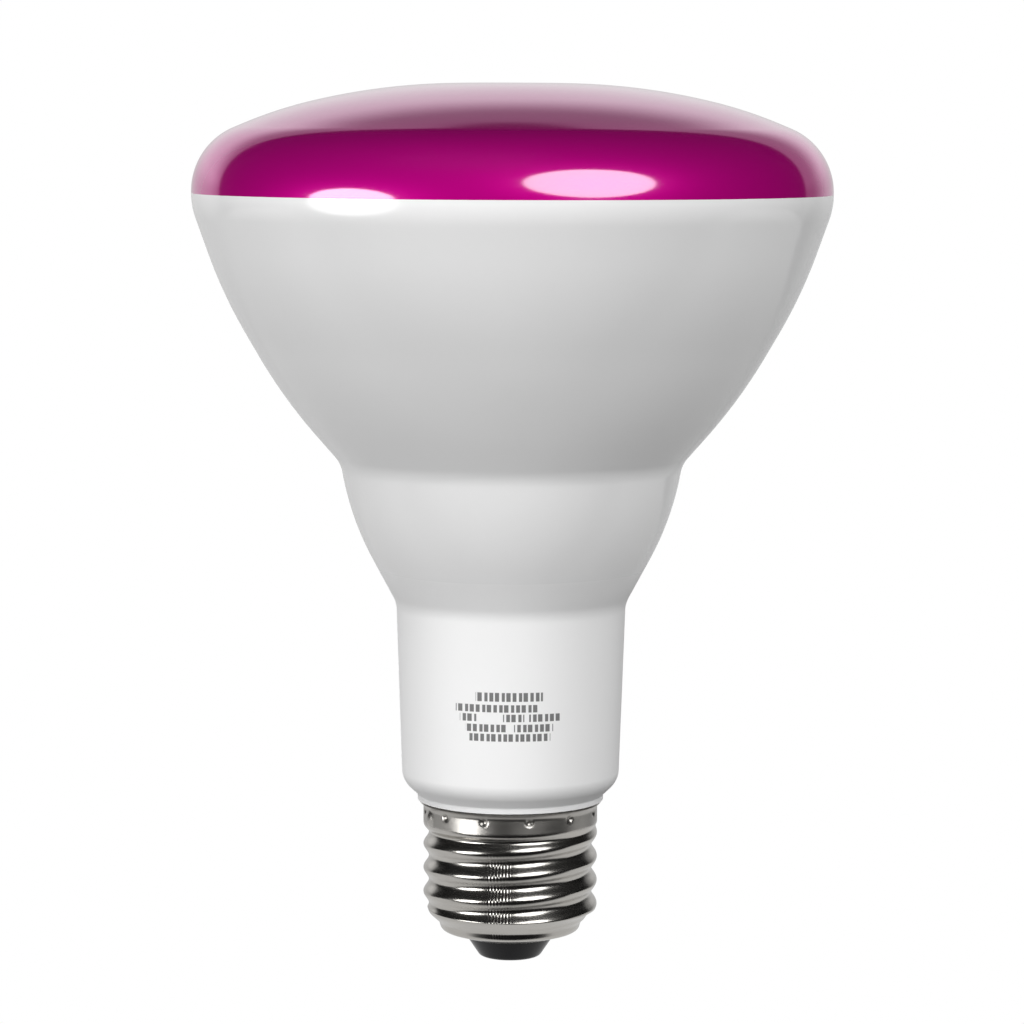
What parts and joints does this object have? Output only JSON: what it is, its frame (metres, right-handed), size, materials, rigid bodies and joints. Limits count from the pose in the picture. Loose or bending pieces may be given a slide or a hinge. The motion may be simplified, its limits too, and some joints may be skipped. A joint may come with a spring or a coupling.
{
  "type": "led reflector bulb",
  "caption": "Reflector lamp with a domed magenta lens, a white bell-shaped body and a rolled screw cap, with its light board and driver inside.",
  "frame": {"origin": "centre of the contact's flat foot, on the lamp's axis, the lowest point of the part", "axes": "+Z along the lamp's axis from the screw cap to the lens; -Y faces the camera of the picture"},
  "size_m": [0.0946, 0.0946, 0.131],
  "materials": {
    "magenta_lens": "deep magenta, glossy, translucent",
    "sealant": "cured white adhesive",
    "white_body": "glossy white moulding",
    "nickel_sheet": "bright rolled nickel-plated sheet",
    "black_insulator": "black, satin",
    "contact_brass": "plain metal",
    "aluminium_sheet": "spun, bare",
    "grey_pad": "soft silicone sheet",
    "white_board": "white solder mask on aluminium",
    "phosphor": "yellow phosphor in white trays",
    "screw_steel": "zinc plated",
    "white_moulding": "natural nylon",
    "red_wire": "insulated wire",
    "green_board": "green solder mask",
    "black_moulding": "moulded epoxy",
    "blue_coating": "dipped coating",
    "red_moulding": "boxed film capacitor",
    "capacitor_sleeve": "shrink sleeve over an aluminium can",
    "ferrite": "sintered ferrite",
    "copper_winding": "enamelled copper under tape",
    "black_wire": "insulated wire",
    "white_wire": "insulated wire"
  },
  "bodies": {
    "root": {"lens": "magenta_lens", "lens_seal": "sealant", "housing": "white_body", "screw_shell": "nickel_sheet", "base_insulator": "black_insulator", "centre_contact": "contact_brass", "heat_sink": "aluminium_sheet", "thermal_pad": "grey_pad", "led_board": "white_board", "led_packages": "phosphor", "board_screws": "screw_steel", "board_connector": "white_moulding", "led_wires": "red_wire", "driver_board": "green_board", "bridge_rectifier": "black_moulding", "driver_chip": "black_moulding", "fuse_resistor": "blue_coating", "varistor": "blue_coating", "film_capacitor": "red_moulding", "input_capacitor": "capacitor_sleeve", "output_capacitor": "capacitor_sleeve", "filter_inductor": "ferrite", "transformer_core": "ferrite", "transformer_bobbin": "black_moulding", "transformer_winding": "copper_winding", "live_wire": "black_wire", "neutral_wire": "white_wire"}
  },
  "joints": []
}
